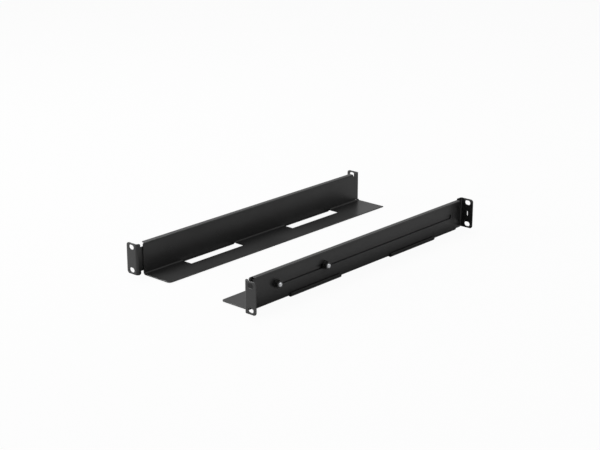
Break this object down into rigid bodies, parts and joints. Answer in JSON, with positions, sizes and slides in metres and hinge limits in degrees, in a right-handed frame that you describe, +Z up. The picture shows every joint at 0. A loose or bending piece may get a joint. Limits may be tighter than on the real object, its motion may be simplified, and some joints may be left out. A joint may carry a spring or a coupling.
{
  "type": "sliding server rail pair",
  "caption": "Pair of folded sheet-steel rack rails with inward shelves, each with a slotted rear bracket that slides on studs to set the mounting depth.",
  "frame": {"origin": "midway between the two rails and midway along the closed length, on the plane that the guide hooks stand on", "axes": "+X across the rack towards the left rail, +Y along the rails towards the front ears, +Z up"},
  "size_m": [0.2336, 0.45, 0.0466],
  "materials": {
    "black_sheet_steel": "satin black powder coat",
    "zinc_plated_steel": "bright zinc",
    "black_fasteners": "black zinc"
  },
  "bodies": {
    "support_rails": {"left_support_rail": "black_sheet_steel", "left_rear_stud": "zinc_plated_steel", "left_rear_washer": "black_fasteners", "left_rear_nut": "black_fasteners", "left_front_stud": "zinc_plated_steel", "left_front_washer": "black_fasteners", "left_front_nut": "black_fasteners", "right_support_rail": "black_sheet_steel", "right_rear_stud": "zinc_plated_steel", "right_rear_washer": "black_fasteners", "right_rear_nut": "black_fasteners", "right_front_stud": "zinc_plated_steel", "right_front_washer": "black_fasteners", "right_front_nut": "black_fasteners"},
    "left_bracket": {"left_slide_bracket": "black_sheet_steel"},
    "right_bracket": {"right_slide_bracket": "black_sheet_steel"}
  },
  "joints": [
    {"name": "left_bracket_slide", "type": "slide", "parent": "support_rails", "child": "left_bracket", "axis": [0, -1, 0], "range_m": [0, 0.27]},
    {"name": "right_bracket_slide", "type": "slide", "parent": "support_rails", "child": "right_bracket", "axis": [0, -1, 0], "range_m": [0, 0.27]}
  ]
}
